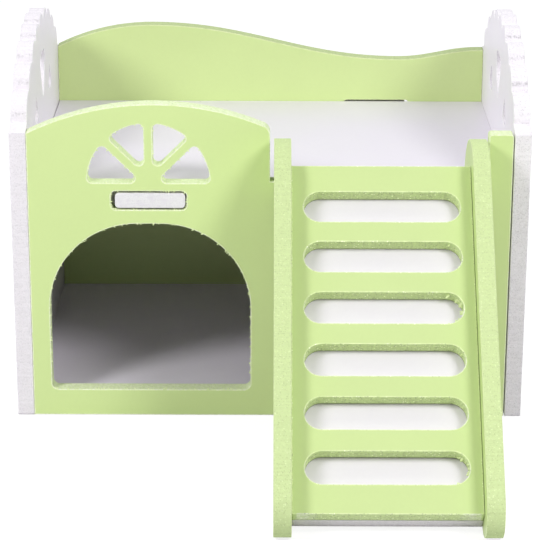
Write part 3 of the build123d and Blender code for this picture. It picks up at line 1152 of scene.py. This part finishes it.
class LadderRails(bpy.types.Operator):
    """Makes the two hooked rails of the ladder"""

    bl_idname = "hamster_house.ladder_rails"
    bl_label = "Ladder Rails"

    def execute(self, context):
        settings = context.scene.hamster_house
        for side, facing, sheet in (("left", LEFT, LEFT_RAIL_SHEET), ("right", RIGHT, RIGHT_RAIL_SHEET)):
            name = f"{side}_rail_board"
            sawn_piece(settings, name, f"ladder_{side}_rail", facing, "ladder", "green_board", sheet)
        return {"FINISHED"}


class Stage(bpy.types.Operator):
    """Sets the floor, the lamps, the white room and the camera"""

    bl_idname = "hamster_house.stage"
    bl_label = "Stage"

    def execute(self, context):
        scene = context.scene
        stage = scene.hamster_house.stage
        scene.view_settings.view_transform = "Standard"
        aim = (cad_box[0] + cad_box[1]) / 2
        self.floor(scene)
        self.lamp(scene, "left_lamp", stage.left_lamp, aim, stage.left_power, stage.left_size)
        self.lamp(scene, "right_lamp", stage.right_lamp, aim, stage.right_power, stage.right_size)
        self.room(scene, stage)
        self.camera(scene, stage)
        return {"FINISHED"}

    def seen(self, tree):
        """Socket that is 1 for what the camera sees, directly or in a gloss."""
        rays = add(tree, "ShaderNodeLightPath").outputs
        direct = math_node(tree, "MAXIMUM", rays["Is Camera Ray"], rays["Is Glossy Ray"])
        return math_node(tree, "MAXIMUM", direct, rays["Is Transmission Ray"])

    def floor(self, scene):
        """A pale floor that is white to the camera, apart from the object's shadow."""
        mesh = bpy.data.meshes.new("studio_floor")
        turns = ((-1, -1), (1, -1), (1, 1), (-1, 1))
        corners = [(x * FLOOR_REACH, y * FLOOR_REACH, FLOOR_LEVEL) for x, y in turns]
        mesh.from_pydata(corners, [], [(0, 1, 2, 3)])
        floor = bpy.data.objects.new("studio_floor", mesh)
        scene.collection.objects.link(floor)
        material = bpy.data.materials.new("studio_floor")
        material.use_nodes = True
        tree = material.node_tree
        tree.nodes.clear()
        plain = result(tree, "ShaderNodeBsdfDiffuse", {"Color": FLOOR_BOUNCE})
        shade = result(tree, "ShaderNodeBsdfDiffuse", {"Color": FLOOR_SHADE})
        glow = result(tree, "ShaderNodeEmission", {"Color": WHITE, "Strength": FLOOR_GLOW})
        white = result(tree, "ShaderNodeAddShader", {0: shade, 1: glow})
        mixed = result(tree, "ShaderNodeMixShader", {0: self.seen(tree), 1: plain, 2: white})
        add(tree, "ShaderNodeOutputMaterial", {"Surface": mixed})
        mesh.materials.append(material)

    def lamp(self, scene, name, place, aim, power, size):
        """A round soft lamp that faces the house."""
        light = bpy.data.lights.new(name, "AREA")
        light.shape = "DISK"
        light.size = size
        light.energy = power
        lamp = bpy.data.objects.new(name, light)
        lamp.location = place
        lamp.rotation_euler = (aim - Vector(place)).to_track_quat("-Z", "Y").to_euler()
        scene.collection.objects.link(lamp)

    def room(self, scene, stage):
        """Soft light from above, behind and both sides, in a room that the camera sees as white."""
        world = bpy.data.worlds.new("studio_room")
        scene.world = world
        world.use_nodes = True
        tree = world.node_tree
        tree.nodes.clear()
        way = add(tree, "ShaderNodeTexCoord").outputs["Generated"]
        sockets = {0: way, 1: ROOM_WAY}
        lean = add(tree, "ShaderNodeVectorMath", sockets, operation="DOT_PRODUCT").outputs["Value"]
        strength = ramp(tree, lean, *ROOM_RANGE, 0.0, stage.room_strength)
        part = add(tree, "ShaderNodeSeparateXYZ", {0: way}).outputs
        side = ramp(tree, math_node(tree, "ABSOLUTE", part["X"]), *SIDE_RANGE, 0.0, stage.side_strength)
        side = times(tree, side, ramp(tree, part["Z"], *SIDE_RISE))
        side = times(tree, side, ramp(tree, part["Y"], *SIDE_DEPTH))
        sockets = {"Color": (*stage.room, 1.0), "Strength": plus(tree, strength, side)}
        light = result(tree, "ShaderNodeBackground", sockets)
        white = result(tree, "ShaderNodeBackground", {"Color": WHITE, "Strength": 1.0})
        mixed = result(tree, "ShaderNodeMixShader", {0: self.seen(tree), 1: light, 2: white})
        add(tree, "ShaderNodeOutputWorld", {"Surface": mixed})

    def camera(self, scene, stage):
        """The camera at the photograph's angle."""
        data = bpy.data.cameras.new("studio_camera")
        data.lens = stage.camera_lens
        data.sensor_width = SENSOR_WIDTH
        camera = bpy.data.objects.new("studio_camera", data)
        pitch = Matrix.Rotation(math.pi / 2 - stage.camera_pitch, 4, "X")
        roll = Matrix.Rotation(stage.camera_roll, 4, "Z")
        camera.matrix_world = Matrix.Translation(stage.camera_place) @ pitch @ roll
        scene.collection.objects.link(camera)
        scene.camera = camera


class HousePanel(bpy.types.Panel):
    """Lists the steps and settings of the house."""

    bl_idname = "VIEW3D_PT_hamster_house"
    bl_label = "Hamster House"
    bl_space_type = "VIEW_3D"
    bl_region_type = "UI"
    bl_category = "Hamster House"

    def draw(self, context):
        layout = self.layout
        for operator in OPERATORS:
            layout.operator(operator.bl_idname)
        settings = context.scene.hamster_house
        for group in (settings.board, settings.finish, settings.burr, settings.stage):
            box = layout.box()
            for name in group.bl_rna.properties.keys():
                if name not in ("rna_type", "name"):
                    box.prop(group, name)


OPERATORS = (FrontPanel, BackPanel, SidePanels, DeckAndFloor, LadderTread, LadderRails, Stage)
CLASSES = (BoardSettings, FinishSettings, BurrSettings, StageSettings, HouseSettings, *OPERATORS, HousePanel)


def register():
    """Registers the classes and hangs the settings on the scene."""
    for made in CLASSES:
        bpy.utils.register_class(made)
    bpy.types.Scene.hamster_house = bpy.props.PointerProperty(type=HouseSettings)


def unregister():
    """Takes the settings off the scene and unregisters the classes."""
    del bpy.types.Scene.hamster_house
    for made in reversed(CLASSES):
        bpy.utils.unregister_class(made)


def main():
    """Registers the classes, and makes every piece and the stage."""
    register()
    bpy.ops.hamster_house.front_panel()
    bpy.ops.hamster_house.back_panel()
    bpy.ops.hamster_house.side_panels()
    bpy.ops.hamster_house.deck_and_floor()
    bpy.ops.hamster_house.ladder_tread()
    bpy.ops.hamster_house.ladder_rails()
    bpy.ops.hamster_house.stage()


if __name__ == "__main__":
    main()
